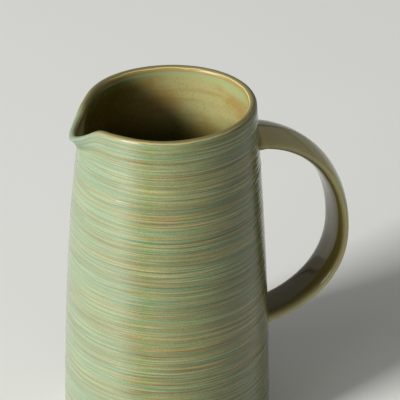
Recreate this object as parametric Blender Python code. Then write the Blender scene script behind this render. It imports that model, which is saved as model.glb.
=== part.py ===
"""Ceramic pitcher, in the pieces that a potter joins.

The body is thrown as one piece of clay, and its spout is pulled out of the soft rim. The handle is a
pulled strap, joined to the wall by a clay collar at each end. Glaze covers the clay in four coats:
outside, inside, over the rim, and on the handle. The foot stays bare.

Frame: the origin is the centre of the flat base. +Z is up, +X points to the handle and -X to the
spout. Units are metres.
"""
import math

import bmesh
import bpy
from mathutils import Vector

MM = 0.001

# Body, measured on the outside of the glaze
HEIGHT = 225 * MM
RIM_RADIUS = 55 * MM
BASE_RADIUS = 66.4 * MM
BELLY = 1.7 * MM            # how far the wall swells beyond a straight taper
BELLY_SKEW = 1.25           # above 1, the swelling sits below half height
WALL = 5.2 * MM             # clay and both glaze coats together
FLOOR = 8 * MM              # top of the inner glaze on the floor
FLOOR_FILLET = 12 * MM      # where the inside of the wall turns into the floor
FOOT_BEVEL = 1.5 * MM
BARE_FOOT = 4 * MM          # height of the unglazed band at the foot

# Layers
GLAZE = 0.6 * MM
GAP = 0.3 * MM              # clearance between two pieces that touch
CLAY_INSET = GLAZE + GAP
LIP_RADIUS = WALL / 2
RIM_BAND = 5.15 * MM        # how far the rim's glaze band comes down the wall

# Rim and spout. Angles are in radians, to each side of the spout's middle.
RIM_OVALITY = 3.0 * MM      # how much narrower the rim is across than from spout to handle
RIM_SAG = 1.7 * MM          # how much lower the rim stands on the spout's side
TIP_REACH = 7.9 * MM
TIP_SPREAD = 0.227
TIP_BLUNTNESS = 1.94
TIP_FLARE = 7 * MM          # depth over which the tip runs back into the wall
THROAT_PINCH = 2.0 * MM     # how far the rim is pressed in beside the spout
THROAT_ANGLE = 0.517
THROAT_SPREAD = 0.442
TIP_DIP = 11.9 * MM
TIP_DIP_SPREAD = 0.311
TIP_DIP_SHARPNESS = 1.6
SHOULDER_RISE = 1.8 * MM    # lifts the rim again on each side of the tip
SHOULDER_ANGLE = 0.337
SHOULDER_SPREAD = 0.125
PINCH_DEPTH = 80 * MM       # below this depth the wall is round again
DIP_DEPTH = 65 * MM         # below this depth the throwing rings run level again

# Handle: a loop that is a superellipse, with its centre inside the wall
LOOP_CENTRE = Vector((47 * MM, 0, 118.7 * MM))
LOOP_REACH = 68.2 * MM
LOOP_RISE = 75.6 * MM
LOOP_DROP = 57.9 * MM
LOOP_SQUARENESS = 2.12
STRAP_HALF_WIDTH = 15.7 * MM
STRAP_WIDENING = 2.5 * MM   # wider by this much at the top, narrower at the bottom
STRAP_THICKNESS = 10.5 * MM
STRAP_CROWN = 0.5           # share of the thickness that lies outside the strap's widest line
OUTER_ROUNDNESS = 1.6       # 2 is an ellipse, less is ridged and more is squarer
INNER_ROUNDNESS = 2.6
ROOT_INSIDE = 8 * MM        # how far a strap starts inside the wall before it is trimmed

# Collars
COLLAR_LENGTH = 4 * MM
COLLAR_FLARE = 0.6 * MM

# Fineness of the faceted surfaces
WALL_SEGMENTS = 52
SPOUT_CROWDING = 0.5        # 0 spaces the segments evenly, more crowds them at the spout
FIRST_ROW = 3.5 * MM
ROW_GROWTH = 1.42
LIP_STEPS = 4
FILLET_STEPS = 3
STRAP_SEGMENTS = 16
STRAP_STATIONS = 26
COLLAR_STATIONS = 4


def wall_radius(height):
    """Outer radius of the glazed wall at a height, before the spout is pulled."""
    fall = 1 - height / HEIGHT
    taper = RIM_RADIUS + (BASE_RADIUS - RIM_RADIUS) * fall
    return taper + BELLY * math.sin(math.pi * max(fall, 0) ** BELLY_SKEW)


def hump(angle, middle, spread):
    """A smooth hump at the angle on each side of the spout's middle."""
    return sum(math.exp(-((angle - side * middle) / spread) ** 2) for side in (-1, 1))


def fade(depth, length):
    """1 at the rim, falling smoothly to 0 at the given depth."""
    share = min(max(depth / length, 0), 1)
    return 1 - share * share * (3 - 2 * share)


def spout_shift(angle, height):
    """How far shaping the rim and the spout moves a point of the wall: outward, and up."""
    depth = HEIGHT - height
    tip = TIP_REACH * math.exp(-abs(angle / TIP_SPREAD) ** TIP_BLUNTNESS)
    flare = math.exp(-max(depth - LIP_RADIUS, 0) / TIP_FLARE)
    pinch = THROAT_PINCH * hump(angle, THROAT_ANGLE, THROAT_SPREAD)
    pinch += RIM_OVALITY * math.sin(angle) ** 2
    dip = TIP_DIP * math.exp(-abs(angle / TIP_DIP_SPREAD) ** TIP_DIP_SHARPNESS)
    dip += RIM_SAG * (1 + math.cos(angle)) / 2
    dip -= SHOULDER_RISE * hump(angle, SHOULDER_ANGLE, SHOULDER_SPREAD)
    outward = tip * flare - pinch * fade(depth - LIP_RADIUS, PINCH_DEPTH)
    return outward, -dip * fade(depth - LIP_RADIUS, DIP_DEPTH)


def wall_vertex(radius, height, angle):
    """A point of the wall, with its angle counted from the spout's middle."""
    outward, up = spout_shift(angle, height)
    reach = radius + outward
    return Vector((-reach * math.cos(angle), -reach * math.sin(angle), height + up))


def wall_angles():
    """The angles of the wall's segments, crowded toward the spout."""
    even = [2 * math.pi * step / WALL_SEGMENTS - math.pi for step in range(WALL_SEGMENTS)]
    return [angle - SPOUT_CROWDING * math.sin(angle) for angle in even]


def wall_rows(top_depth, bottom_depth):
    """Depths of the rows on the wall, close together at the rim, that lie inside a range."""
    rows = [LIP_RADIUS, (LIP_RADIUS + RIM_BAND) / 2, RIM_BAND]
    step = FIRST_ROW
    while rows[-1] + step < HEIGHT:
        rows.append(rows[-1] + step)
        step *= ROW_GROWTH
    inside = [row for row in rows if top_depth + GAP < row < bottom_depth - GAP]
    return [top_depth] + inside + [bottom_depth]


def wall_line(inset, top_depth, bottom_depth):
    """(radius, height) points down the wall, at an inset from its outside."""
    heights = [HEIGHT - depth for depth in wall_rows(top_depth, bottom_depth)]
    return [(wall_radius(height) - inset, height) for height in heights]


def lip_line(inset):
    """(radius, height) points over the lip, from the outer wall to the inner one."""
    height = HEIGHT - LIP_RADIUS
    middle = wall_radius(height) - LIP_RADIUS
    turn = [math.pi * step / LIP_STEPS for step in range(1, LIP_STEPS)]
    radius = LIP_RADIUS - inset
    return [(middle + radius * math.cos(a), height + radius * math.sin(a)) for a in turn]


def floor_line(inset):
    """(radius, height) points round the inner corner and along the floor to the axis."""
    height = FLOOR + FLOOR_FILLET
    middle = wall_radius(height) - WALL - FLOOR_FILLET
    radius = FLOOR_FILLET + inset
    turn = [math.pi / 2 * step / FILLET_STEPS for step in range(1, FILLET_STEPS + 1)]
    corner = [(middle + radius * math.cos(a), height - radius * math.sin(a)) for a in turn]
    return corner + [(0, FLOOR - inset)]


def new_object(name, mesh_builder, material):
    """Links a new object that holds a bmesh, with its faces turned outward and shaded smooth."""
    bmesh.ops.recalc_face_normals(mesh_builder, faces=mesh_builder.faces)
    mesh = bpy.data.meshes.new(name)
    mesh_builder.to_mesh(mesh)
    mesh_builder.free()
    mesh.shade_smooth()
    mesh.set_sharp_from_angle(angle=math.radians(40))
    if material:
        mesh.materials.append(material)
    piece = bpy.data.objects.new(name, mesh)
    bpy.context.collection.objects.link(piece)
    return piece


def turned_piece(name, contour, material):
    """Turns a closed contour of (radius, height) points round the axis, with the spout pulled.

    A contour that starts and ends on the axis closes there. Each quad is split along the diagonal
    that climbs with the angle, so the facets of neighbouring layers stay parallel.
    """
    build = bmesh.new()
    angles = wall_angles()
    on_axis = contour[0][0] == 0
    ring_points = contour[1:-1] if on_axis else contour
    columns = [[build.verts.new(wall_vertex(r, z, a)) for r, z in ring_points] for a in angles]
    last = len(ring_points) - 1
    steps = [(i, i + 1) for i in range(last)]
    if not on_axis:
        steps.append((last, 0))
    for side, column in enumerate(columns):
        following = columns[(side + 1) % len(columns)]
        for start, end in steps:
            near_start, near_end = column[start], column[end]
            far_start, far_end = following[start], following[end]
            if ring_points[end][1] > ring_points[start][1]:
                build.faces.new((near_start, near_end, far_end))
                build.faces.new((near_start, far_end, far_start))
            else:
                build.faces.new((near_start, near_end, far_start))
                build.faces.new((near_end, far_end, far_start))
    if on_axis:
        for index, point in ((0, contour[0]), (last, contour[-1])):
            pole = build.verts.new(Vector((0, 0, point[1])))
            for side, column in enumerate(columns):
                following = columns[(side + 1) % len(columns)]
                build.faces.new((pole, column[index], following[index]))
    return new_object(name, build, material)


def skinned_piece(name, rings, material, hollow=False):
    """Joins rings of points into one skin: capped at both ends, or closed into a hollow sleeve."""
    build = bmesh.new()
    loops = [[build.verts.new(point) for point in ring] for ring in rings]
    pairs = list(zip(loops, loops[1:]))
    if hollow:
        pairs.append((loops[-1], loops[0]))
    else:
        build.faces.new(loops[0])
        build.faces.new(loops[-1])
    for first, second in pairs:
        for index in range(len(first)):
            after = (index + 1) % len(first)
            build.faces.new((first[index], first[after], second[after], second[index]))
    return new_object(name, build, material)


def cut(piece, cutter):
    """Takes the cutter's shape out of a piece."""
    boolean = piece.modifiers.new("cut_by_" + cutter.name, "BOOLEAN")
    boolean.operation = "DIFFERENCE"
    boolean.object = cutter
    boolean.solver = "EXACT"
    cutter.hide_render = True
    cutter.display_type = "WIRE"


def loop_point(turn):
    """A point of the handle's middle line. The turn is +90 degrees at the top of the loop."""
    power = 2 / LOOP_SQUARENESS
    across = math.cos(turn)
    along = math.sin(turn)
    rise = LOOP_RISE if along > 0 else LOOP_DROP
    x = LOOP_REACH * math.copysign(abs(across) ** power, across)
    z = rise * math.copysign(abs(along) ** power, along)
    return LOOP_CENTRE + Vector((x, 0, z))


def turn_at(distance, side):
    """The loop's turn where its middle line is at a distance outside the wall.

    The side is +1 for the handle's upper end and -1 for its lower end. The wall's radius at the end
    depends on the height found there, so the search repeats until it settles.
    """
    turn = side * math.pi / 2
    for _ in range(20):
        reach = wall_radius(loop_point(turn).z) + distance - LOOP_CENTRE.x
        turn = side * math.acos((reach / LOOP_REACH) ** (LOOP_SQUARENESS / 2))
    return turn


def strap_ring(turn, grow):
    """One cross-section of the strap, rounded inside, with a soft ridge down its outside."""
    small = 0.001
    centre = loop_point(turn)
    along = (loop_point(turn - small) - loop_point(turn + small)).normalized()
    across = Vector((0, 1, 0))
    outward = across.cross(along)
    outward *= math.copysign(1, outward.dot(centre - LOOP_CENTRE))
    share = turn / (math.pi / 2)
    half_width = STRAP_HALF_WIDTH + STRAP_WIDENING * share + grow
    widest_line = centre + outward * STRAP_THICKNESS * (0.5 - STRAP_CROWN)
    ring = []
    for step in range(STRAP_SEGMENTS):
        around = 2 * math.pi * (step + 0.5) / STRAP_SEGMENTS
        side, height = math.cos(around), math.sin(around)
        roundness = OUTER_ROUNDNESS if height > 0 else INNER_ROUNDNESS
        depth = STRAP_THICKNESS * (STRAP_CROWN if height > 0 else 1 - STRAP_CROWN) + grow
        y = half_width * math.copysign(abs(side) ** (2 / roundness), side)
        lift = depth * math.copysign(abs(height) ** (2 / roundness), height)
        ring.append(widest_line + across * y + outward * lift)
    return ring


def strap_turns(start, end, count):
    """Evenly spaced turns along the loop."""
    return [start + (end - start) * step / count for step in range(count + 1)]


def collar_turns(side, start):
    """Turns along a collar, from a start distance to its far edge."""
    steps = [start + (COLLAR_LENGTH - start) * n / COLLAR_STATIONS for n in range(COLLAR_STATIONS + 1)]
    return [(distance, turn_at(distance, side)) for distance in steps]


def collar_flare(distance):
    """How far the collar spreads at a distance from the wall."""
    share = 1 - max(distance, 0) / COLLAR_LENGTH
    return COLLAR_FLARE * share * share


def glaze_material(name, colour, roughness):
    """A principled material, coloured as an RGBA value."""
    material = bpy.data.materials.new(name)
    material.use_nodes = True
    shader = material.node_tree.nodes["Principled BSDF"]
    shader.inputs["Base Color"].default_value = colour
    shader.inputs["Roughness"].default_value = roughness
    shader.inputs["Metallic"].default_value = 0.0
    return material


def make_body():
    """The thrown clay: foot, wall, lip and floor in one piece, with the spout pulled from it."""
    foot_radius = wall_radius(0) - CLAY_INSET
    foot = [(0, 0), (foot_radius - FOOT_BEVEL, 0), (foot_radius, FOOT_BEVEL)]
    outside = wall_line(CLAY_INSET, LIP_RADIUS, HEIGHT - BARE_FOOT)
    inside = wall_line(WALL - CLAY_INSET, LIP_RADIUS, HEIGHT - FLOOR - FLOOR_FILLET)
    contour = foot + outside[::-1] + lip_line(CLAY_INSET) + inside + floor_line(CLAY_INSET)
    clay = glaze_material("stoneware_clay", (0.55, 0.44, 0.33, 1), 0.85)
    return turned_piece("pitcher_body", contour, clay)


def make_outer_glaze():
    """The green coat on the outside, from under the rim band to the bare foot."""
    top = RIM_BAND + GAP / 2
    outside = wall_line(0, top, HEIGHT - BARE_FOOT)
    inside = wall_line(GLAZE, top, HEIGHT - BARE_FOOT)
    green = glaze_material("green_glaze", (0.30, 0.36, 0.22, 1), 0.25)
    return turned_piece("outer_glaze", outside[::-1] + inside, green)


def make_rim_glaze():
    """The gold band that folds over the lip and down both sides."""
    bottom = RIM_BAND - GAP / 2
    outside = wall_line(0, LIP_RADIUS, bottom)[::-1] + lip_line(0) + wall_line(WALL, LIP_RADIUS, bottom)
    inside = wall_line(GLAZE, LIP_RADIUS, bottom)[::-1] + lip_line(GLAZE)
    inside += wall_line(WALL - GLAZE, LIP_RADIUS, bottom)
    gold = glaze_material("gold_rim_glaze", (0.50, 0.40, 0.20, 1), 0.3)
    return turned_piece("rim_glaze", outside + inside[::-1], gold)


def make_inner_glaze():
    """The liner coat on the inside of the wall and on the floor."""
    top = RIM_BAND + GAP / 2
    bottom = HEIGHT - FLOOR - FLOOR_FILLET
    inside = floor_line(0)[::-1] + wall_line(WALL, top, bottom)[::-1]
    backing = wall_line(WALL - GLAZE, top, bottom) + floor_line(GLAZE)
    khaki = glaze_material("khaki_liner_glaze", (0.36, 0.33, 0.15, 1), 0.3)
    return turned_piece("inner_glaze", inside + backing, khaki)


def make_wall_cutter():
    """A filled copy of the clay wall, a gap larger, that trims the handle's ends to it."""
    side = wall_line(CLAY_INSET - GAP, RIM_BAND, HEIGHT - FLOOR)
    contour = [(0, side[0][1])] + side + [(0, side[-1][1])]
    return turned_piece("wall_cutter", contour, None)


def make_handle(wall_cutter, clay):
    """The pulled clay strap, trimmed to the wall at both ends."""
    turns = strap_turns(turn_at(-ROOT_INSIDE, 1), turn_at(-ROOT_INSIDE, -1), STRAP_STATIONS)
    rings = [strap_ring(turn, -CLAY_INSET) for turn in turns]
    handle = skinned_piece("handle", rings, clay)
    cut(handle, wall_cutter)
    return handle


def make_handle_glaze():
    """The coat on the strap, from collar to collar."""
    edge = COLLAR_LENGTH + GAP
    turns = strap_turns(turn_at(edge, 1), turn_at(edge, -1), STRAP_STATIONS - 4)
    outside = [strap_ring(turn, 0) for turn in turns]
    inside = [strap_ring(turn, -GLAZE) for turn in turns]
    olive = glaze_material("olive_handle_glaze", (0.20, 0.18, 0.09, 1), 0.3)
    return skinned_piece("handle_glaze", outside + inside[::-1], olive, hollow=True)


def make_collar(name, side, wall_cutter, outer_glaze, clay):
    """The clay worked in round one end of the handle, flaring onto the wall.

    The outer glaze stops a gap short of it, all the way round.
    """
    stations = collar_turns(side, -ROOT_INSIDE)
    outside = [strap_ring(turn, collar_flare(distance)) for distance, turn in stations]
    inside = [strap_ring(turn, -GLAZE) for _, turn in stations]
    collar = skinned_piece(name, outside + inside[::-1], clay, hollow=True)
    cut(collar, wall_cutter)
    clearance = [strap_ring(turn, collar_flare(distance) + GAP) for distance, turn in stations]
    window_cutter = skinned_piece(name + "_window_cutter", clearance, None)
    cut(outer_glaze, window_cutter)
    return collar


def remove_everything():
    """Empties the scene."""
    for old in list(bpy.data.objects):
        bpy.data.objects.remove(old, do_unlink=True)


def main():
    remove_everything()
    handle_clay = glaze_material("handle_clay", (0.52, 0.42, 0.31, 1), 0.85)
    collar_clay = glaze_material("collar_clay", (0.48, 0.39, 0.28, 1), 0.85)
    make_body()
    outer_glaze = make_outer_glaze()
    make_rim_glaze()
    make_inner_glaze()
    wall_cutter = make_wall_cutter()
    make_handle(wall_cutter, handle_clay)
    make_handle_glaze()
    make_collar("upper_handle_joint", 1, wall_cutter, outer_glaze, collar_clay)
    make_collar("lower_handle_joint", -1, wall_cutter, outer_glaze, collar_clay)


main()
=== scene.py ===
"""The looks of the ceramic pitcher: fine glaze surfaces, their materials, a plain floor and soft light.

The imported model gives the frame. This script repeats the model's shape as functions, because it makes
the same surfaces again with enough points to carry the throwing rings, and lays each new piece exactly
where its CAD node is. Units are metres, +Z is up, and the spout points to -X.
"""
import math

import bpy
import numpy as np
from mathutils import Matrix, Vector


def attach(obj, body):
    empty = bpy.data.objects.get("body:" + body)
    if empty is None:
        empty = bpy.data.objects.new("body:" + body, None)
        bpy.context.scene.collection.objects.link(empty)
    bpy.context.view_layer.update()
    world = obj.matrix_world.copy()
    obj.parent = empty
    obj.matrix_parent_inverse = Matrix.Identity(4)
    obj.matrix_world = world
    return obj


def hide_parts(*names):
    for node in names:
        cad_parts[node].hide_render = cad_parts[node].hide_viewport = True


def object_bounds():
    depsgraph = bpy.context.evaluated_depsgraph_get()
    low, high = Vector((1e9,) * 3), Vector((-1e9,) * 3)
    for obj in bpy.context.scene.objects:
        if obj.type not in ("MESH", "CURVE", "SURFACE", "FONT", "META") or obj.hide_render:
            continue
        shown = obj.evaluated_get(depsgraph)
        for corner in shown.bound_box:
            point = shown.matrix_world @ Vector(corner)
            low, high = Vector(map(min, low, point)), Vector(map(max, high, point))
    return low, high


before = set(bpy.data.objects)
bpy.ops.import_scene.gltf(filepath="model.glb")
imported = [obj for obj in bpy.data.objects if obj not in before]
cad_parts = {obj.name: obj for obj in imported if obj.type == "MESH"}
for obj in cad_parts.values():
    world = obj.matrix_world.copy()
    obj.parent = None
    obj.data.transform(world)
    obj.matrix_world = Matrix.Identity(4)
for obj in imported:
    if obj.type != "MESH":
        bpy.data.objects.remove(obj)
cad_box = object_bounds()

MM = 0.001
SEED = 7

# Body, as the CAD model has it
HEIGHT = cad_box[1][2]
RIM_RADIUS = 55 * MM
BASE_RADIUS = 66.4 * MM
BELLY = 1.7 * MM
BELLY_SKEW = 1.25
WALL = 5.2 * MM
FLOOR = 8 * MM
FLOOR_FILLET = 12 * MM
FOOT_BEVEL = 1.5 * MM
BARE_FOOT = 4 * MM
GLAZE = 0.6 * MM
CLAY_INSET = 0.9 * MM
LIP_RADIUS = WALL / 2
RIM_BAND = 5.15 * MM
AXIS_CALM = 10 * MM         # nearer to the axis than this, the rim's and spout's shaping fades out

# Rim and spout. Angles are in radians, to each side of the spout's middle.
RIM_OVALITY = 3.0 * MM
RIM_SAG = 1.7 * MM
TIP_REACH = 7.9 * MM
TIP_SPREAD = 0.227
TIP_BLUNTNESS = 1.94
TIP_FLARE = 7 * MM
THROAT_PINCH = 2.0 * MM
THROAT_ANGLE = 0.517
THROAT_SPREAD = 0.442
TIP_DIP = 11.9 * MM
TIP_DIP_SPREAD = 0.311
TIP_DIP_SHARPNESS = 1.6
SHOULDER_RISE = 1.8 * MM
SHOULDER_ANGLE = 0.337
SHOULDER_SPREAD = 0.125
PINCH_DEPTH = 80 * MM
DIP_DEPTH = 65 * MM

# Handle
LOOP_CENTRE = np.array((47 * MM, 0, 118.7 * MM))
LOOP_REACH = 68.2 * MM
LOOP_RISE = 75.6 * MM
LOOP_DROP = 57.9 * MM
LOOP_SQUARENESS = 2.12
STRAP_HALF_WIDTH = 15.7 * MM
STRAP_WIDENING = 2.5 * MM
STRAP_THICKNESS = 10.5 * MM
STRAP_CROWN = 0.5
OUTER_ROUNDNESS = 1.6
INNER_ROUNDNESS = 2.6
ROOT_INSIDE = 4 * MM
COLLAR_LENGTH = 4 * MM
COLLAR_FLARE = 0.6 * MM

# Glaze on the handle
COAT_OVERLAP = 0.4 * MM     # how far the coat reaches over each collar's edge
JOINT_SHADE_WIDTH = 1.3 * MM       # painted shade darkens the glaze this close to the wall
JOINT_SHADE_DARKNESS = 0.7
LOWER_TAN_REACH = 0.45       # how far the tan reaches round the strap's inside at its lower end
# A line of painted shade runs along the ridge down the strap's outside
RIDGE_WIDTH = 1.0 * MM
RIDGE_SHADE_DARKNESS = 0.85
RIDGE_END = 0.55            # the loop's turn at which the painted shade along the ridge has faded out
RIDGE_FADE = 0.4

# Fineness
WALL_SEGMENTS = 120
SPOUT_CROWDING = 0.5
RING_ROW = 0.3 * MM
RIM_ROW = 0.25 * MM
LINER_ROW = 1 * MM
CLAY_ROW = 2 * MM
PLAIN_ROW = 3 * MM
LIP_STEPS = 24
FILLET_STEPS = 12
BEVEL_STEPS = 6
FLOOR_STEPS = 9
FOOT_STEPS = 11
STRAP_SEGMENTS = 64
STRAP_STATIONS = 150
COLLAR_STATIONS = 21
TURN_PASSES = 20
LEVEL_PASSES = 8
SHARP_ANGLE = math.radians(50)

# Throwing rings
RING_SPACING = 3.2 * MM
RING_STEEPNESS = 0.06
INNER_RING_SPACING = 9 * MM
INNER_RING_STEEPNESS = 0.016
CREST_FLATNESS = 2.1
RING_STRENGTH = (0.45, 0.9)

# Where a ring's colours lie, in shares of its height, and how likely each one is to show
CREST = (0.4, 0.7)
GOLD_WIDTH = (0.07, 0.13)
GOLD_LIKELIHOOD = 0.85
# The cream line is partly glaze colour and partly a painted highlight
CREAM_BELOW_CREST = 0.2
CREAM_WIDTH = 0.08
CREAM_LIKELIHOOD = 0.6
TEAL_BELOW_CREST = 0.36
TEAL_WIDTH = (0.1, 0.17)
TEAL_LIKELIHOOD = 0.7
# The dark lines in the valleys are painted shade in the grooves
VALLEY_WIDTH = 0.09
VALLEY_LIKELIHOOD = 0.8

# Where the rings sway, fade out and are smoothed away
RING_SWAY = 0.3 * MM
RING_DIP_DEPTH = 30 * MM    # below this depth the rings no longer follow the rim's dips
RING_FOOT_FADE = 2 * MM
INNER_RING_FADE = 6 * MM
LIP_RING_END = 1.3          # across the lip, in its radii: full rings from here outward
LIP_RING_FADE = 0.4
SMOOTH_SHARE = 0.8          # the rings are smoothed away by this share under the spout
SMOOTH_SPREAD = 0.5
SMOOTH_DEPTH = 30 * MM

# The fold where the spout's lip overhangs the wall: a groove, with painted shade under the lip
FOLD_DEPTH = 6 * MM
FOLD_SLOPE = 18 * MM
FOLD_WIDTH = 1.9 * MM
FOLD_SPREAD = 0.25
FOLD_GROOVE = 0.5 * MM
FOLD_SHADE_DARKNESS = 0.75
TIP_COLOUR_SPREAD = 0.36

# How fast the patterns along the rings change: round the pitcher, and up it
CLOUD_GRAIN = (9, 330)
THREAD_GRAIN = (14, 900)
FINE_GRAIN = (14, 1250)
STREAK_GRAIN = (20, 220)
HAIRLINE_GRAIN = 11

# Colours of the outer glaze: linear red, green, blue and alpha. A tint multiplies the colour below it.
OLIVE_GREENS = ((0.168, 0.166, 0.064, 1), (0.184, 0.176, 0.072, 1))
COOL_GREEN = (0.138, 0.172, 0.078, 1)
RING_TEAL = (0.07, 0.15, 0.078, 1)
RING_GOLD = (0.27, 0.168, 0.053, 1)
RING_CREAM = (0.235, 0.235, 0.12, 1)
RING_VALLEY = (0.09, 0.08, 0.034, 1)
BROWN_HAIR = (0.14, 0.09, 0.032, 1)
TEAL_HAIR = (0.1, 0.18, 0.1, 1)
GREEN_RUN_TINT = (0.92, 1.0, 0.84, 1)
# painted shade for a broad band down each side
SHADED_TINT = (0.87, 0.89, 0.84, 1)
# painted reflection: these two make the spout's side paler, bluer and milky, as a sheen of the soft light
PAINTED_SHEEN_TINT = (1.15, 1.26, 1.68, 1)
PAINTED_SHEEN_GREENS = ((0.186, 0.212, 0.115, 1), (0.182, 0.228, 0.135, 1))
# painted shade under the spout's overhanging lip
FOLD_SHADE_TEAL = (0.05, 0.115, 0.075, 1)

# Colours of the rim
LIP_OLIVES = ((0.14, 0.125, 0.042, 1), (0.18, 0.16, 0.062, 1))
OUTER_GOLD = (0.34, 0.265, 0.115, 1)
INNER_GOLD = (0.46, 0.35, 0.145, 1)
TIP_GREEN = (0.165, 0.215, 0.155, 1)
INNER_EDGE_BROWN = (0.24, 0.165, 0.055, 1)
INNER_EDGE_GREEN = (0.215, 0.25, 0.11, 1)
# painted shade: darkens the lip's inner side toward the spout
RIM_THROAT_SHADE_TINT = (0.58, 0.58, 0.5, 1)

# Colours of the liner
LINER_KHAKIS = ((0.25, 0.182, 0.06, 1), (0.266, 0.245, 0.1, 1))
LINER_STREAK = (0.23, 0.15, 0.045, 1)
LINER_SPECK = (0.15, 0.095, 0.03, 1)
LINER_GREEN = (0.24, 0.264, 0.115, 1)
# painted shade: the liner darkens with depth, and on the spout's side
LINER_DEPTH_SHADE = (0.075, 0.07, 0.01, 1)
LINER_THROAT_SHADE_TINT = (0.43, 0.43, 0.21, 1)

# Colours of the handle, the bare clay and the floor
# The olive inside the loop is partly glaze colour and partly painted shade; the darkest colour is painted
# shade at the wall and along the ridge
HANDLE_TANS = ((0.38, 0.36, 0.162, 1), (0.425, 0.352, 0.142, 1))
HANDLE_OLIVE = (0.115, 0.09, 0.02, 1)
HANDLE_SPECK = (0.09, 0.07, 0.025, 1)
HANDLE_DARK = (0.06, 0.053, 0.025, 1)
BODY_CLAY = (0.55, 0.44, 0.33)
STRAP_CLAY = (0.52, 0.42, 0.31)
CLAY_GRIT = (0.12, 0.08, 0.05, 1)
PALE_FLOORS = ((0.735, 0.74, 0.70, 1), (0.75, 0.755, 0.715, 1))

# Camera and light
VIEW_AZIMUTH = math.radians(-18)
VIEW_ELEVATION = math.radians(27.47)
VIEW_DISTANCE = 1.521
VIEW_PAN = math.radians(0.87)
VIEW_TILT = math.radians(29.73)
VIEW_ROLL = math.radians(0.41)
LENS = 225
KEY_AZIMUTH = math.radians(-72)
KEY_ELEVATION = math.radians(21)
KEY_DISTANCE = 8.0
KEY_SIZE = (1.96, 1.96)
KEY_POWER = 1050
PANEL_AZIMUTH = math.radians(-71)
PANEL_ELEVATION = math.radians(14)
PANEL_DISTANCE = 8.4
PANEL_SIZE = (7.5, 2.8)
PANEL_POWER = 310
SWEEP_GLOW = 0.34
ROOM_GLOW = 0.26
DARKEST_GLOW = 0.04
ZENITH_SHARE = 0.3
# Sines of the heights at which one part of the surroundings gives way to the next
SWEEP_TOP = (0.21, 0.24)
ROOM_START = (0.26, 0.32)
ZENITH_START = (0.8, 0.95)
FLOOR_SIZE = 12.0


# ---------------------------------------------------------------- the shape, as the CAD model has it

def wall_radius(height):
    """Outer radius of the glazed wall at a height, before the spout is pulled."""
    fall = np.clip(1 - height / HEIGHT, 0, None)
    return RIM_RADIUS + (BASE_RADIUS - RIM_RADIUS) * fall + BELLY * np.sin(np.pi * fall ** BELLY_SKEW)


def hump(angle, middle, spread):
    """A smooth hump at the angle on each side of the spout's middle."""
    return sum(np.exp(-((angle - side * middle) / spread) ** 2) for side in (-1, 1))


def fade(depth, length):
    """1 at the rim, falling smoothly to 0 at the given depth."""
    share = np.clip(depth / length, 0, 1)
    return 1 - share * share * (3 - 2 * share)


def spout_shift(angle, height):
    """How far shaping the rim and the spout moves a point of the wall: outward, and up."""
    depth = HEIGHT - height
    tip = TIP_REACH * np.exp(-np.abs(angle / TIP_SPREAD) ** TIP_BLUNTNESS)
    flare = np.exp(-np.clip(depth - LIP_RADIUS, 0, None) / TIP_FLARE)
    pinch = THROAT_PINCH * hump(angle, THROAT_ANGLE, THROAT_SPREAD)
    pinch += RIM_OVALITY * np.sin(angle) ** 2
    dip = TIP_DIP * np.exp(-np.abs(angle / TIP_DIP_SPREAD) ** TIP_DIP_SHARPNESS)
    dip += RIM_SAG * (1 + np.cos(angle)) / 2
    dip -= SHOULDER_RISE * hump(angle, SHOULDER_ANGLE, SHOULDER_SPREAD)
    outward = tip * flare - pinch * fade(depth - LIP_RADIUS, PINCH_DEPTH)
    return outward, -dip * fade(depth - LIP_RADIUS, DIP_DEPTH)


def wall_points(radius, height, angle):
    """Points of the wall, with their angles counted from the spout's middle."""
    outward, up = spout_shift(angle, height)
    reach = radius + outward * np.clip(radius / AXIS_CALM, 0, 1)
    return np.stack((-reach * np.cos(angle), -reach * np.sin(angle), height + up), axis=-1)


def wall_angles():
    """The angles of the wall's segments, crowded toward the spout."""
    even = np.arange(WALL_SEGMENTS) * 2 * np.pi / WALL_SEGMENTS - np.pi
    return even - SPOUT_CROWDING * np.sin(even)


def wall_line(inset, low, high, row):
    """(radius, height) points up the wall, at an inset from its outside."""
    heights = np.linspace(low, high, max(round((high - low) / row), 1) + 1)
    return np.stack((wall_radius(heights) - inset, heights), axis=-1)


def lip_line(inset):
    """(radius, height) points over the lip, from the outer wall to the inner one."""
    height = HEIGHT - LIP_RADIUS
    middle = wall_radius(height) - LIP_RADIUS
    turn = np.pi * np.arange(1, LIP_STEPS) / LIP_STEPS
    radius = LIP_RADIUS - inset
    return np.stack((middle + radius * np.cos(turn), height + radius * np.sin(turn)), axis=-1)


def floor_line(inset):
    """(radius, height) points from the wall, round the inner corner and along the floor to the axis."""
    height = FLOOR + FLOOR_FILLET
    middle = wall_radius(height) - WALL - FLOOR_FILLET
    radius = FLOOR_FILLET + inset
    turn = np.pi / 2 * np.arange(1, FILLET_STEPS + 1) / FILLET_STEPS
    corner = np.stack((middle + radius * np.cos(turn), height - radius * np.sin(turn)), axis=-1)
    across = np.linspace(middle, 0, FLOOR_STEPS + 1)[1:]
    return np.concatenate((corner, np.stack((across, np.full_like(across, FLOOR - inset)), axis=-1)))


def loop_point(turn):
    """Points of the handle's middle line. The turn is +90 degrees at the top of the loop."""
    power = 2 / LOOP_SQUARENESS
    across, along = np.cos(turn), np.sin(turn)
    x = LOOP_REACH * np.sign(across) * np.abs(across) ** power
    z = np.where(along > 0, LOOP_RISE, LOOP_DROP) * np.sign(along) * np.abs(along) ** power
    return LOOP_CENTRE + np.stack((x, np.zeros_like(x), z), axis=-1)


def turn_at(distance, side):
    """The loop's turn where its middle line is at a distance outside the wall, above (+1) or below."""
    turn = side * np.pi / 2
    for _ in range(TURN_PASSES):
        reach = wall_radius(loop_point(turn)[2]) + distance - LOOP_CENTRE[0]
        turn = side * math.acos((reach / LOOP_REACH) ** (LOOP_SQUARENESS / 2))
    return turn


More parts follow.
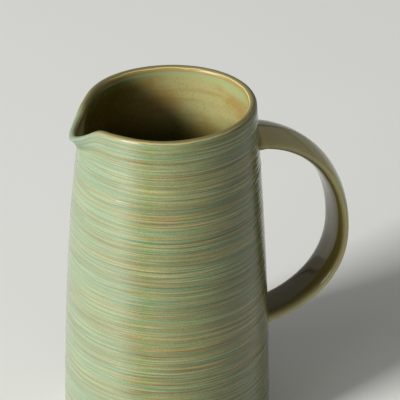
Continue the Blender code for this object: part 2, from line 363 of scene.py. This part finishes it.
def strap_ring(turn, grow):
    """One cross-section of the strap, rounded inside, with a soft ridge down its outside."""
    small = 0.001
    centre = loop_point(turn)
    along = loop_point(turn - small) - loop_point(turn + small)
    along /= np.linalg.norm(along)
    across = np.array((0.0, 1.0, 0.0))
    outward = np.cross(across, along)
    outward *= np.sign(outward @ (centre - LOOP_CENTRE))
    share = turn / (np.pi / 2)
    half_width = STRAP_HALF_WIDTH + STRAP_WIDENING * share + grow
    widest_line = centre + outward * STRAP_THICKNESS * (0.5 - STRAP_CROWN)
    around = 2 * np.pi * (np.arange(STRAP_SEGMENTS) + 0.5) / STRAP_SEGMENTS
    side, height = np.cos(around), np.sin(around)
    roundness = np.where(height > 0, OUTER_ROUNDNESS, INNER_ROUNDNESS)
    depth = STRAP_THICKNESS * np.where(height > 0, STRAP_CROWN, 1 - STRAP_CROWN) + grow
    y = half_width * np.sign(side) * np.abs(side) ** (2 / roundness)
    lift = depth * np.sign(height) * np.abs(height) ** (2 / roundness)
    return widest_line + np.outer(y, across) + np.outer(lift, outward)


def strap_outside(turns):
    """For each point of the cross-sections, 1 in the middle of its outside and -1 inside the loop.

    The tan reaches further round the strap toward its lower end, so the values rise there.
    """
    around = 2 * np.pi * (np.arange(STRAP_SEGMENTS) + 0.5) / STRAP_SEGMENTS
    return np.sin(around) + LOWER_TAN_REACH * np.clip(-np.asarray(turns)[:, None], 0, 1)


def ridge_shade_line(points, outside, strength):
    """How much painted shade darkens the glaze along the ridge down the strap's outside."""
    return RIDGE_SHADE_DARKNESS * strength * np.exp(-(points[..., 1] / RIDGE_WIDTH) ** 2) * (outside > 0)


# ---------------------------------------------------------------- throwing rings

def harmonics(rng, angle, waves):
    """A smooth random wave round the pitcher, between about -1 and 1."""
    phases = rng.uniform(0, 2 * np.pi, waves)
    sizes = rng.uniform(0.4, 1, waves) / np.sqrt(np.arange(1, waves + 1))
    pairs = enumerate(zip(sizes, phases), start=1)
    total = sum(size * np.sin(wave * angle + phase) for wave, (size, phase) in pairs)
    return total / sizes.sum()


def ring_heights(rng, spacing):
    """Heights of the rings up the wall, unevenly spaced."""
    steps = spacing * rng.uniform(0.5, 1.5, int(HEIGHT / spacing) + 12)
    return np.cumsum(steps) - spacing


def band(value, middle, width):
    """A soft band: 1 where the value is at its middle, falling away over its width."""
    return np.exp(-((value - middle) / width) ** 2)


def presence(rng, angle, likelihood):
    """How strongly a colour shows along one ring: it fades in and out round the pitcher."""
    shows = rng.uniform(0, 1) < likelihood
    return shows * np.clip(rng.uniform(0.35, 1.1) + 0.8 * harmonics(rng, angle, 6), 0, 1)


def thrown_rings(rng, angle, level, spacing, steepness):
    """The rings that fingers leave in thrown clay: rounded crests that meet in sharp valleys.

    Gives the relief above the valleys, and how gold, cream, teal and dark the glaze is there.
    """
    layers = np.zeros((5,) + level.shape)
    heights = ring_heights(rng, spacing)
    edges = [height + RING_SWAY * harmonics(rng, angle, 3) for height in heights]
    for low, high in zip(edges, edges[1:]):
        share = (level - low) / (high - low)
        crest = rng.uniform(*CREST)
        strength = rng.uniform(*RING_STRENGTH) * (1 + 0.4 * harmonics(rng, angle, 5))
        edge_bands = band(share, 0, VALLEY_WIDTH) + band(share, 1, VALLEY_WIDTH)
        ring = (
            steepness * (high - low) * strength * (1 - np.abs(2 * share - 1) ** CREST_FLATNESS),
            presence(rng, angle, GOLD_LIKELIHOOD) * band(share, crest, rng.uniform(*GOLD_WIDTH)),
            presence(rng, angle, CREAM_LIKELIHOOD) * band(share, crest - CREAM_BELOW_CREST, CREAM_WIDTH),
            presence(rng, angle, TEAL_LIKELIHOOD)
            * band(share, crest - TEAL_BELOW_CREST, rng.uniform(*TEAL_WIDTH)),
            presence(rng, angle, VALLEY_LIKELIHOOD) * edge_bands,
        )
        layers += np.where((share >= 0) & (share < 1), ring, 0)
    return layers


# ---------------------------------------------------------------- meshes

def new_piece(name, points, faces, node, material, attributes=None):
    """Makes a smooth piece that rides on the body and stands for a CAD node."""
    mesh = bpy.data.meshes.new(name)
    mesh.from_pydata(points.reshape(-1, 3).tolist(), [], faces)
    for key, values in (attributes or {}).items():
        layer = mesh.attributes.new(key, "FLOAT", "POINT")
        layer.data.foreach_set("value", np.asarray(values, np.float32).ravel())
    mesh.shade_smooth()
    mesh.set_sharp_from_angle(angle=SHARP_ANGLE)
    mesh.materials.append(material)
    piece = bpy.data.objects.new(name, mesh)
    bpy.context.scene.collection.objects.link(piece)
    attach(piece, "root")
    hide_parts(node)
    return piece


def grid_faces(rows, columns, close_rows):
    """Quads of a grid that closes round its columns, and round its rows if asked."""
    faces = []
    for row in range(rows if close_rows else rows - 1):
        start, end = row * columns, (row + 1) % rows * columns
        for column in range(columns):
            after = (column + 1) % columns
            faces.append((start + column, end + column, end + after, start + after))
    return faces


def ring_level(angle, height):
    """The level of the throwing ring through a point of the wall.

    Rings follow the rim where they are close to it, and run level again a little way below it.
    """
    _, up = spout_shift(angle, height)
    _, rim_up = spout_shift(angle, np.full_like(height, HEIGHT))
    place = height + up
    level = place.copy()
    for _ in range(LEVEL_PASSES):
        level = place - rim_up * fade(HEIGHT - level, RING_DIP_DEPTH)
    return level


def turned_points(contour, relief=None):
    """Turns a contour of (radius, height) points round the axis, raised by a relief."""
    angle = np.tile(wall_angles(), (len(contour), 1))
    radius = np.repeat(contour[:, :1], WALL_SEGMENTS, axis=1)
    height = np.repeat(contour[:, 1:], WALL_SEGMENTS, axis=1)
    if relief is not None:
        radius = radius + relief
    return wall_points(radius, height, angle)


def cap_poles(points):
    """Closes a turned surface whose first and last rows lie on the axis, with one point for each."""
    rows, columns, _ = points.shape
    inner = points[1:-1].reshape(-1, 3)
    first, last = points[0].mean(axis=0), points[-1].mean(axis=0)
    pole = len(inner)
    faces = grid_faces(rows - 2, columns, False)
    end = (rows - 3) * columns
    for column in range(columns):
        after = (column + 1) % columns
        faces.append((pole, column, after))
        faces.append((pole + 1, end + after, end + column))
    return np.concatenate((inner, [first, last])), faces


# ---------------------------------------------------------------- materials

def add_node(tree, kind, inputs=None, **settings):
    """Adds a node. An input is a value, or the socket that feeds it."""
    node = tree.nodes.new(kind)
    for key, value in settings.items():
        setattr(node, key, value)
    for key, value in (inputs or {}).items():
        if isinstance(value, bpy.types.NodeSocket):
            tree.links.new(value, node.inputs[key])
        else:
            node.inputs[key].default_value = value
    return node


def maths(tree, operation, first, second=0.0):
    """One arithmetic step."""
    return add_node(tree, "ShaderNodeMath", {0: first, 1: second}, operation=operation).outputs[0]


def remap(tree, value, low, high, start=0.0, end=1.0):
    """A smooth step from start to end while the value goes from low to high."""
    inputs = {"Value": value, "From Min": low, "From Max": high, "To Min": start, "To Max": end}
    node = add_node(tree, "ShaderNodeMapRange", inputs, interpolation_type="SMOOTHSTEP")
    return node.outputs["Result"]


def between(tree, value, start, full, full_end, end):
    """1 while the value lies between full and full_end, falling smoothly to 0 at start and end."""
    rise = remap(tree, value, start, full)
    return maths(tree, "MULTIPLY", rise, remap(tree, value, full_end, end, 1.0, 0.0))


def blend(tree, factor, first, second, mode="MIX"):
    """Mixes two colours."""
    inputs = {0: factor, 6: first, 7: second}
    return add_node(tree, "ShaderNodeMix", inputs, data_type="RGBA", blend_type=mode).outputs[2]


def attribute(tree, name):
    """A float that the mesh carries."""
    return add_node(tree, "ShaderNodeAttribute", attribute_name=name).outputs["Fac"]


def noise(tree, vector, scale, detail=2.0, roughness=0.5):
    """Smooth noise between 0 and 1."""
    inputs = {"Vector": vector, "Scale": scale, "Detail": detail, "Roughness": roughness}
    return add_node(tree, "ShaderNodeTexNoise", inputs).outputs["Fac"]


def object_place(tree):
    """The point's place in the object's frame."""
    return add_node(tree, "ShaderNodeTexCoord").outputs["Object"]


def toward_handle(tree):
    """How far a point lies from the body's axis toward the handle, in metres."""
    return add_node(tree, "ShaderNodeSeparateXYZ", {0: object_place(tree)}).outputs["X"]


def ring_place(tree, across, up):
    """A place that runs slowly round the pitcher and fast up its rings."""
    split = add_node(tree, "ShaderNodeSeparateXYZ", {0: object_place(tree)})
    parts = (split.outputs["X"], split.outputs["Y"], attribute(tree, "ring_level"))
    scaled = [maths(tree, "MULTIPLY", part, scale) for part, scale in zip(parts, (across, across, up))]
    return add_node(tree, "ShaderNodeCombineXYZ", dict(enumerate(scaled))).outputs[0]


def new_material(name):
    """An empty node material, and its tree and shader."""
    material = bpy.data.materials.new(name)
    material.use_nodes = True
    return material, material.node_tree, material.node_tree.nodes["Principled BSDF"]


def finish_shader(tree, shader, colour, roughness, height, depth):
    """Links the colour, the roughness and a bump whose height is in metres."""
    tree.links.new(colour, shader.inputs["Base Color"])
    tree.links.new(roughness, shader.inputs["Roughness"])
    bump = add_node(tree, "ShaderNodeBump", {"Height": height, "Distance": depth, "Strength": 1.0})
    tree.links.new(bump.outputs[0], shader.inputs["Normal"])


def hairlines(tree, fineness, low, high):
    """Fine broken lines along the rings."""
    return remap(tree, noise(tree, ring_place(tree, HAIRLINE_GRAIN, fineness), 1.0, 1), low, high)


def over_rings(tree, colour, layer, tint, low, high):
    """Lays a ring colour over the glaze, broken up along its rings."""
    broken = remap(tree, noise(tree, ring_place(tree, *THREAD_GRAIN), 1.0), low, high)
    return blend(tree, maths(tree, "MULTIPLY", attribute(tree, layer), broken), colour, tint)


def spout_side(tree):
    """1 in front of the spout and -1 behind the handle, wavering a little from ring to ring."""
    waver = remap(tree, noise(tree, ring_place(tree, *CLOUD_GRAIN), 1.0), 0.3, 0.7, -0.04, 0.04)
    return maths(tree, "ADD", attribute(tree, "spout_side"), waver)


def streaked_glaze(tree):
    """Green glaze that breaks to gold and cream on the rings' crests and pools to teal between them.

    Its cream lines are partly glaze colour and partly a painted highlight, and its dark valleys painted
    shade.
    The spout's side is painted paler and bluer as a sheen of the soft light, up to a greener run down
    each side; painted shade darkens a broad band down each side, and finer lines show toward the handle.
    """
    place = object_place(tree)
    colour = blend(tree, noise(tree, place, 14), *OLIVE_GREENS)
    cloud = remap(tree, noise(tree, ring_place(tree, *CLOUD_GRAIN), 1.6), 0.4, 0.65)
    colour = blend(tree, cloud, colour, COOL_GREEN)
    colour = over_rings(tree, colour, "ring_teal", RING_TEAL, 0.25, 0.5)
    colour = over_rings(tree, colour, "ring_gold", RING_GOLD, 0.3, 0.5)
    # cream line: partly a painted highlight
    colour = over_rings(tree, colour, "ring_cream", RING_CREAM, 0.3, 0.6)
    # painted shade in the grooves between rings
    valley = maths(tree, "MULTIPLY", attribute(tree, "ring_valley"), 0.6)
    colour = blend(tree, valley, colour, RING_VALLEY)
    brown = maths(tree, "MULTIPLY", hairlines(tree, 960, 0.55, 0.63), 0.8)
    colour = blend(tree, brown, colour, BROWN_HAIR)
    teal = maths(tree, "MULTIPLY", hairlines(tree, 1080, 0.55, 0.63), 0.72)
    colour = blend(tree, teal, colour, TEAL_HAIR)
    threads = remap(tree, noise(tree, ring_place(tree, *THREAD_GRAIN), 1.8, 1), 0.35, 0.65, 0.82, 1.2)
    colour = blend(tree, 1.0, colour, threads, "MULTIPLY")
    grain = remap(tree, noise(tree, place, 1300, 3, 0.6), 0.3, 0.7, 0.84, 1.12)
    colour = blend(tree, 1.0, colour, grain, "MULTIPLY")
    side = spout_side(tree)
    fine = remap(tree, noise(tree, ring_place(tree, *FINE_GRAIN), 1.0, 1), 0.38, 0.62, 0.8, 1.2)
    colour = blend(tree, remap(tree, side, -0.15, 0.25, 1.0, 0.25), colour, fine, "MULTIPLY")
    colour = blend(tree, between(tree, side, 0.45, 0.48, 0.53, 0.56), colour, GREEN_RUN_TINT, "MULTIPLY")
    # painted shade: a broad band down each side is darkened
    colour = blend(tree, between(tree, side, -0.45, -0.1, 0.1, 0.4), colour, SHADED_TINT, "MULTIPLY")
    # painted reflection: the spout's side is painted paler and bluer as a sheen of the soft light
    pale = blend(tree, 1.0, colour, PAINTED_SHEEN_TINT, "MULTIPLY")
    painted_sheen = blend(tree, remap(tree, side, 0.8, 1.0), *PAINTED_SHEEN_GREENS)
    pale = blend(tree, 0.45, pale, painted_sheen)
    colour = blend(tree, remap(tree, side, 0.54, 0.76), colour, pale)
    # painted shade: dark teal under the spout's overhanging lip
    return blend(tree, attribute(tree, "spout_fold_shade"), colour, FOLD_SHADE_TEAL)


def outer_glaze_material():
    """The glaze on the outside, with fine threads of relief between its rings."""
    material, tree, shader = new_material("streaked_green_glaze")
    roughness = remap(tree, noise(tree, ring_place(tree, *CLOUD_GRAIN), 1.7), 0.3, 0.7, 0.11, 0.16)
    threads = noise(tree, ring_place(tree, *THREAD_GRAIN), 1.2)
    finish_shader(tree, shader, streaked_glaze(tree), roughness, threads, 0.00016)
    return material


def rim_glaze_material():
    """Olive lip top, a gold line along each edge, paler over the spout's tip, painted shade inside by the
    spout.
    """
    material, tree, shader = new_material("gold_edged_rim_glaze")
    place = object_place(tree)
    patchy = remap(tree, noise(tree, place, 90), 0.3, 0.7, -0.07, 0.07)
    across = maths(tree, "ADD", attribute(tree, "lip_across"), patchy)
    colour = blend(tree, noise(tree, place, 90), *LIP_OLIVES)
    colour = blend(tree, remap(tree, across, 0.75, 0.95), colour, streaked_glaze(tree))
    outer = between(tree, across, 0.5, 0.62, 0.76, 0.86)
    outer = maths(tree, "MULTIPLY", outer, remap(tree, spout_side(tree), 0.6, 0.8, 1.0, 0.5))
    colour = blend(tree, outer, colour, OUTER_GOLD)
    pale = maths(tree, "MULTIPLY", attribute(tree, "spout_tip"), remap(tree, across, -0.5, 0.0))
    colour = blend(tree, maths(tree, "MULTIPLY", pale, 0.8), colour, TIP_GREEN)
    colour = blend(tree, remap(tree, across, -0.95, -0.8, 1.0, 0.0), colour, INNER_EDGE_BROWN)
    colour = blend(tree, remap(tree, across, -1.25, -1.05, 1.0, 0.0), colour, INNER_EDGE_GREEN)
    inner = between(tree, across, -0.85, -0.76, -0.68, -0.59)
    inner = maths(tree, "MULTIPLY", inner, remap(tree, spout_side(tree), 0.1, 0.8, 1.0, 0.4))
    colour = blend(tree, inner, colour, INNER_GOLD)
    # painted shade on the lip's inner side toward the spout
    throat_shade = remap(tree, toward_handle(tree), -0.045, -0.025, 1.0, 0.0)
    throat_shade = maths(tree, "MULTIPLY", throat_shade, remap(tree, across, -0.9, -0.7, 1.0, 0.0))
    colour = blend(tree, throat_shade, colour, RIM_THROAT_SHADE_TINT, "MULTIPLY")
    roughness = remap(tree, noise(tree, place, 120), 0.3, 0.7, 0.3, 0.42)
    finish_shader(tree, shader, colour, roughness, noise(tree, place, 700), 0.00004)
    shader.inputs["Specular IOR Level"].default_value = 0.32
    return material


def liner_material():
    """Speckled, streaked khaki, green under the rim, with painted shade deep down and on the spout's
    side.
    """
    material, tree, shader = new_material("speckled_khaki_liner_glaze")
    place = object_place(tree)
    depth = maths(tree, "SUBTRACT", HEIGHT, attribute(tree, "ring_level"))
    wave = remap(tree, noise(tree, place, 22), 0.3, 0.7, -0.004, 0.004)
    green = remap(tree, maths(tree, "ADD", depth, wave), 0.006, 0.012, 1.0, 0.0)
    cloud = remap(tree, noise(tree, place, 35, 3), 0.4, 0.6)
    colour = blend(tree, cloud, *LINER_KHAKIS)
    streak = remap(tree, noise(tree, ring_place(tree, *STREAK_GRAIN), 1.0, 3), 0.5, 0.68)
    colour = blend(tree, maths(tree, "MULTIPLY", streak, 0.5), colour, LINER_STREAK)
    speck = remap(tree, noise(tree, place, 900, 2), 0.56, 0.7)
    colour = blend(tree, maths(tree, "MULTIPLY", speck, 0.45), colour, LINER_SPECK)
    colour = blend(tree, maths(tree, "MULTIPLY", green, 0.9), colour, LINER_GREEN)
    # painted shade: darker from 25 to 60 mm below the rim
    colour = blend(tree, remap(tree, depth, 0.025, 0.06), colour, LINER_DEPTH_SHADE)
    # painted shade: the liner is darker on the spout's side
    throat_shade = remap(tree, toward_handle(tree), -0.026, 0.016, 1.0, 0.0)
    colour = blend(tree, throat_shade, colour, LINER_THROAT_SHADE_TINT, "MULTIPLY")
    roughness = remap(tree, noise(tree, place, 50), 0.3, 0.7, 0.18, 0.32)
    finish_shader(tree, shader, colour, roughness, noise(tree, place, 500), 0.00005)
    return material


def handle_glaze_material():
    """Smooth glossy tan glaze, olive inside the loop partly as painted shade, painted shade at wall and
    ridge.
    """
    material, tree, shader = new_material("olive_tan_handle_glaze")
    place = object_place(tree)
    cloud = remap(tree, noise(tree, place, 30, 3), 0.35, 0.65)
    outer_tan = blend(tree, cloud, *HANDLE_TANS)
    outside = remap(tree, attribute(tree, "strap_outside"), -0.5, 0.3)
    # partly painted shade: the inside of the loop is darker olive than the tan outside
    colour = blend(tree, outside, HANDLE_OLIVE, outer_tan)
    speck = remap(tree, noise(tree, place, 1100, 2), 0.62, 0.75)
    colour = blend(tree, maths(tree, "MULTIPLY", speck, 0.4), colour, HANDLE_SPECK)
    # painted shade at the wall and along the ridge
    dark = maths(tree, "MAXIMUM", attribute(tree, "joint_shade"), attribute(tree, "ridge"))
    colour = blend(tree, dark, colour, HANDLE_DARK)
    roughness = remap(tree, noise(tree, place, 45), 0.3, 0.7, 0.07, 0.13)
    finish_shader(tree, shader, colour, roughness, noise(tree, place, 450), 0.00003)
    return material


def clay_material(name, colour):
    """Bare fired stoneware, gritty and speckled."""
    material, tree, shader = new_material(name)
    place = object_place(tree)
    dark = tuple(part * 0.8 for part in colour) + (1,)
    base = blend(tree, noise(tree, place, 80, 3), dark, tuple(colour) + (1,))
    grit = remap(tree, noise(tree, place, 2200, 2), 0.62, 0.72)
    base = blend(tree, maths(tree, "MULTIPLY", grit, 0.7), base, CLAY_GRIT)
    roughness = remap(tree, noise(tree, place, 300), 0.3, 0.7, 0.75, 0.92)
    finish_shader(tree, shader, base, roughness, noise(tree, place, 2500, 3, 0.6), 0.00015)
    return material


# ---------------------------------------------------------------- pieces

def glaze_rings(contour):
    """The outside's ring relief and its colour layers, for a contour that is turned round the axis.

    Each call draws the same rings, so that they run on from the wall to the rim.
    """
    angle = np.tile(wall_angles(), (len(contour), 1))
    height = np.repeat(contour[:, 1:], WALL_SEGMENTS, axis=1)
    level = ring_level(angle, height)
    rng = np.random.default_rng(SEED)
    relief, gold, cream, teal, valley = thrown_rings(rng, angle, level, RING_SPACING, RING_STEEPNESS)
    depth = HEIGHT - height
    smoothed = 1 - SMOOTH_SHARE * band(angle, 0, SMOOTH_SPREAD) * fade(depth, SMOOTH_DEPTH)
    fold_line = FOLD_DEPTH + FOLD_SLOPE * np.abs(angle)
    fold = band(angle, 0, FOLD_SPREAD) * band(depth, fold_line, FOLD_WIDTH)
    layers = {
        "ring_level": level,
        "ring_gold": gold,
        "ring_cream": cream,
        "ring_teal": teal,
        "ring_valley": valley * smoothed,
        "spout_side": np.cos(angle),
        "spout_tip": np.exp(-(angle / TIP_COLOUR_SPREAD) ** 4),
        "spout_fold_shade": FOLD_SHADE_DARKNESS * fold,
    }
    return smoothed * relief - FOLD_GROOVE * fold, layers


def make_glazed_wall(material):
    """The outer coat with its throwing rings: a closed shell from the bare foot to the rim band."""
    outside = wall_line(0, BARE_FOOT, HEIGHT - RIM_BAND, RING_ROW)
    inside = wall_line(GLAZE, BARE_FOOT, HEIGHT - RIM_BAND, PLAIN_ROW)[::-1]
    contour = np.concatenate((outside, inside))
    relief, layers = glaze_rings(contour)
    relief *= 1 - fade(contour[:, 1:] - BARE_FOOT, RING_FOOT_FADE)
    relief[len(outside):] = 0
    faces = grid_faces(len(contour), WALL_SEGMENTS, True)
    points = turned_points(contour, relief)
    return new_piece("glazed_wall", points, faces, "outer_glaze", material, layers)


def make_rim_lip(material):
    """The glaze over the lip, a closed band that meets the wall's coats edge to edge."""
    low, high = HEIGHT - RIM_BAND, HEIGHT - LIP_RADIUS
    outside = wall_line(0, low, high, RIM_ROW)
    inside = wall_line(WALL, low, high, RIM_ROW)[::-1]
    skin = np.concatenate((outside, lip_line(0), inside))
    outer_back = wall_line(GLAZE, low, high, RIM_ROW)
    inner_back = wall_line(WALL - GLAZE, low, high, RIM_ROW)[::-1]
    back = np.concatenate((outer_back, lip_line(GLAZE), inner_back))[::-1]
    contour = np.concatenate((skin, back))
    middle = wall_radius(high) - LIP_RADIUS
    across = (contour[:, 0] - middle) / LIP_RADIUS
    below = np.clip(high - contour[:, 1], 0, None) / LIP_RADIUS
    across = np.sign(across) * (np.abs(across) + below)
    relief, layers = glaze_rings(contour)
    relief *= np.clip(1 + (across[:, None] - LIP_RING_END) / LIP_RING_FADE, 0, 1)
    relief[len(skin):] = 0
    layers["lip_across"] = np.repeat(across, WALL_SEGMENTS)
    faces = grid_faces(len(contour), WALL_SEGMENTS, True)
    points = turned_points(contour, relief)
    return new_piece("rim_lip", points, faces, "rim_glaze", material, layers)


def make_liner(material):
    """The inner coat, from under the rim band down the wall and over the floor."""
    low, high = FLOOR + FLOOR_FILLET, HEIGHT - RIM_BAND
    front = np.concatenate((wall_line(WALL, low, high, LINER_ROW)[::-1], floor_line(0)))
    back = np.concatenate((wall_line(WALL - GLAZE, low, high, PLAIN_ROW)[::-1], floor_line(GLAZE)))[::-1]
    contour = np.concatenate((back, front))
    angle = np.tile(wall_angles(), (len(contour), 1))
    height = np.repeat(contour[:, 1:], WALL_SEGMENTS, axis=1)
    rng = np.random.default_rng(SEED)
    relief = -thrown_rings(rng, angle, height, INNER_RING_SPACING, INNER_RING_STEEPNESS)[0]
    relief *= 1 - fade(high - height, INNER_RING_FADE)
    relief *= 1 - fade(height - low, INNER_RING_FADE)
    relief[:len(back)] = 0
    points, faces = cap_poles(turned_points(contour, relief))
    level = np.concatenate((height[1:-1].ravel(), height[[0, -1], 0]))
    return new_piece("liner", points, faces, "inner_glaze", material, {"ring_level": level})


def make_clay_body(material):
    """The thrown clay under the coats, with its bare foot."""
    foot_radius = wall_radius(0) - CLAY_INSET
    turn = np.pi / 2 * np.arange(BEVEL_STEPS + 1) / BEVEL_STEPS
    bevel_middle = foot_radius - FOOT_BEVEL
    bevel = np.stack((bevel_middle + FOOT_BEVEL * np.sin(turn), FOOT_BEVEL * (1 - np.cos(turn))), axis=-1)
    across = np.linspace(0, bevel_middle, FOOT_STEPS + 1)[:-1]
    foot = np.stack((across, np.zeros_like(across)), axis=-1)
    outside = wall_line(CLAY_INSET, 2 * FOOT_BEVEL, HEIGHT - LIP_RADIUS, CLAY_ROW)
    inside = wall_line(WALL - CLAY_INSET, FLOOR + FLOOR_FILLET, HEIGHT - LIP_RADIUS, PLAIN_ROW)[::-1]
    contour = np.concatenate((foot, bevel, outside, lip_line(CLAY_INSET), inside, floor_line(CLAY_INSET)))
    points, faces = cap_poles(turned_points(contour))
    return new_piece("pitcher_clay", points, faces, "pitcher_body", material)


def make_handle_coat(material):
    """The coat on the strap, from collar to collar."""
    edge = COLLAR_LENGTH - COAT_OVERLAP
    turns = np.linspace(turn_at(edge, 1), turn_at(edge, -1), STRAP_STATIONS)
    outside = [strap_ring(turn, 0) for turn in turns]
    inside = [strap_ring(turn, -GLAZE) for turn in turns[::-1]]
    points = np.array(outside + inside)
    faces = grid_faces(len(points), STRAP_SEGMENTS, True)
    there_and_back = np.concatenate((turns, turns[::-1]))
    shares = strap_outside(there_and_back)
    strength = np.clip((there_and_back - RIDGE_END) / RIDGE_FADE, 0, 1)
    layers = {
        "strap_outside": shares,
        "ridge": ridge_shade_line(points, shares, strength[:, None]),
    }
    return new_piece("handle_coat", points, faces, "handle_glaze", material, layers)


def make_collar(name, node, side, material):
    """The clay worked in round one end of the handle, a closed sleeve that flares onto the wall."""
    distances = np.linspace(-ROOT_INSIDE, COLLAR_LENGTH, COLLAR_STATIONS)
    turns = [turn_at(distance, side) for distance in distances]
    flare = COLLAR_FLARE * np.clip(1 - distances.clip(0) / COLLAR_LENGTH, 0, 1) ** 2
    outside = [strap_ring(turn, grow) for turn, grow in zip(turns, flare)]
    inside = [strap_ring(turn, -GLAZE) for turn in turns[::-1]]
    points = np.array(outside + inside)
    shares = strap_outside(turns + turns[::-1])
    if side > 0:
        points = points[:, ::-1]
        shares = shares[:, ::-1]
    faces = grid_faces(len(points), STRAP_SEGMENTS, True)
    gap = np.hypot(points[..., 0], points[..., 1]) - wall_radius(points[..., 2])
    layers = {
        "strap_outside": shares,
        "joint_shade": JOINT_SHADE_DARKNESS * np.clip(1 - gap / JOINT_SHADE_WIDTH, 0, 1),
        "ridge": ridge_shade_line(points, shares, max(side, 0)),
    }
    return new_piece(name, points, faces, node, material, layers)


def dress_handle_clay(material):
    """Gives the CAD strap inside the coat its clay."""
    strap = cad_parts["handle"]
    strap.data.materials.clear()
    strap.data.materials.append(material)


# ---------------------------------------------------------------- stage

def compass(azimuth, elevation):
    """Unit vector toward an azimuth, 0 in front (-Y) and positive toward +X."""
    flat = math.cos(elevation)
    return Vector((math.sin(azimuth) * flat, -math.cos(azimuth) * flat, math.sin(elevation)))


def make_floor():
    """A plain pale floor."""
    half = FLOOR_SIZE / 2
    mesh = bpy.data.meshes.new("floor")
    corners = [(-half, -half, 0), (half, -half, 0), (half, half, 0), (-half, half, 0)]
    mesh.from_pydata(corners, [], [(0, 1, 2, 3)])
    material, tree, shader = new_material("pale_floor")
    place = object_place(tree)
    colour = blend(tree, noise(tree, place, 3, 3), *PALE_FLOORS)
    roughness = remap(tree, noise(tree, place, 8), 0, 1, 0.6, 0.7)
    finish_shader(tree, shader, colour, roughness, noise(tree, place, 40), 0.0)
    mesh.materials.append(material)
    floor = bpy.data.objects.new("floor", mesh)
    bpy.context.scene.collection.objects.link(floor)


def make_camera():
    """The camera, in front of the rim and above it, turned a little off the rim's centre."""
    aim = Vector((0, 0, HEIGHT))
    place = aim + compass(VIEW_AZIMUTH, VIEW_ELEVATION) * VIEW_DISTANCE
    data = bpy.data.cameras.new("camera")
    data.lens = LENS
    camera = bpy.data.objects.new("camera", data)
    heading = Matrix.Rotation(VIEW_AZIMUTH - VIEW_PAN, 4, "Z")
    tilt = Matrix.Rotation(math.pi / 2 - VIEW_TILT, 4, "X")
    roll = Matrix.Rotation(VIEW_ROLL, 4, "Z")
    camera.matrix_world = Matrix.Translation(place) @ heading @ tilt @ roll
    bpy.context.scene.collection.objects.link(camera)
    bpy.context.scene.camera = camera


def make_area_light(name, azimuth, elevation, distance, size, power):
    """A soft box that faces the pitcher's middle."""
    data = bpy.data.lights.new(name, "AREA")
    data.shape = "RECTANGLE"
    data.size, data.size_y = size
    data.energy = power
    light = bpy.data.objects.new(name, data)
    direction = compass(azimuth, elevation)
    light.location = Vector((0, 0, HEIGHT / 2)) + direction * distance
    light.rotation_euler = direction.to_track_quat("Z", "Y").to_euler()
    bpy.context.scene.collection.objects.link(light)


def make_world():
    """A pale paper sweep that rises a little above the floor's edge, and a dim room above it."""
    world = bpy.data.worlds.new("studio")
    world.use_nodes = True
    tree = world.node_tree
    direction = add_node(tree, "ShaderNodeTexCoord").outputs["Generated"]
    rise = add_node(tree, "ShaderNodeSeparateXYZ", {0: direction}).outputs["Z"]
    sweep = remap(tree, rise, *SWEEP_TOP, SWEEP_GLOW, DARKEST_GLOW)
    room = remap(tree, rise, *ROOM_START, 0.0, ROOM_GLOW)
    room = maths(tree, "MULTIPLY", room, remap(tree, rise, *ZENITH_START, 1.0, ZENITH_SHARE))
    tree.links.new(maths(tree, "ADD", sweep, room), tree.nodes["Background"].inputs["Strength"])
    tree.nodes["Background"].inputs["Color"].default_value = (1, 1, 1, 1)
    bpy.context.scene.world = world


def main():
    make_glazed_wall(outer_glaze_material())
    make_rim_lip(rim_glaze_material())
    make_liner(liner_material())
    make_clay_body(clay_material("stoneware", BODY_CLAY))
    handle_glaze = handle_glaze_material()
    make_handle_coat(handle_glaze)
    make_collar("upper_joint", "upper_handle_joint", 1, handle_glaze)
    make_collar("lower_joint", "lower_handle_joint", -1, handle_glaze)
    dress_handle_clay(clay_material("handle_stoneware", STRAP_CLAY))
    make_floor()
    make_camera()
    make_area_light("key_softbox", KEY_AZIMUTH, KEY_ELEVATION, KEY_DISTANCE, KEY_SIZE, KEY_POWER)
    make_area_light("side_panel", PANEL_AZIMUTH, PANEL_ELEVATION, PANEL_DISTANCE, PANEL_SIZE, PANEL_POWER)
    make_world()
    bpy.context.scene.view_settings.view_transform = "Standard"


main()
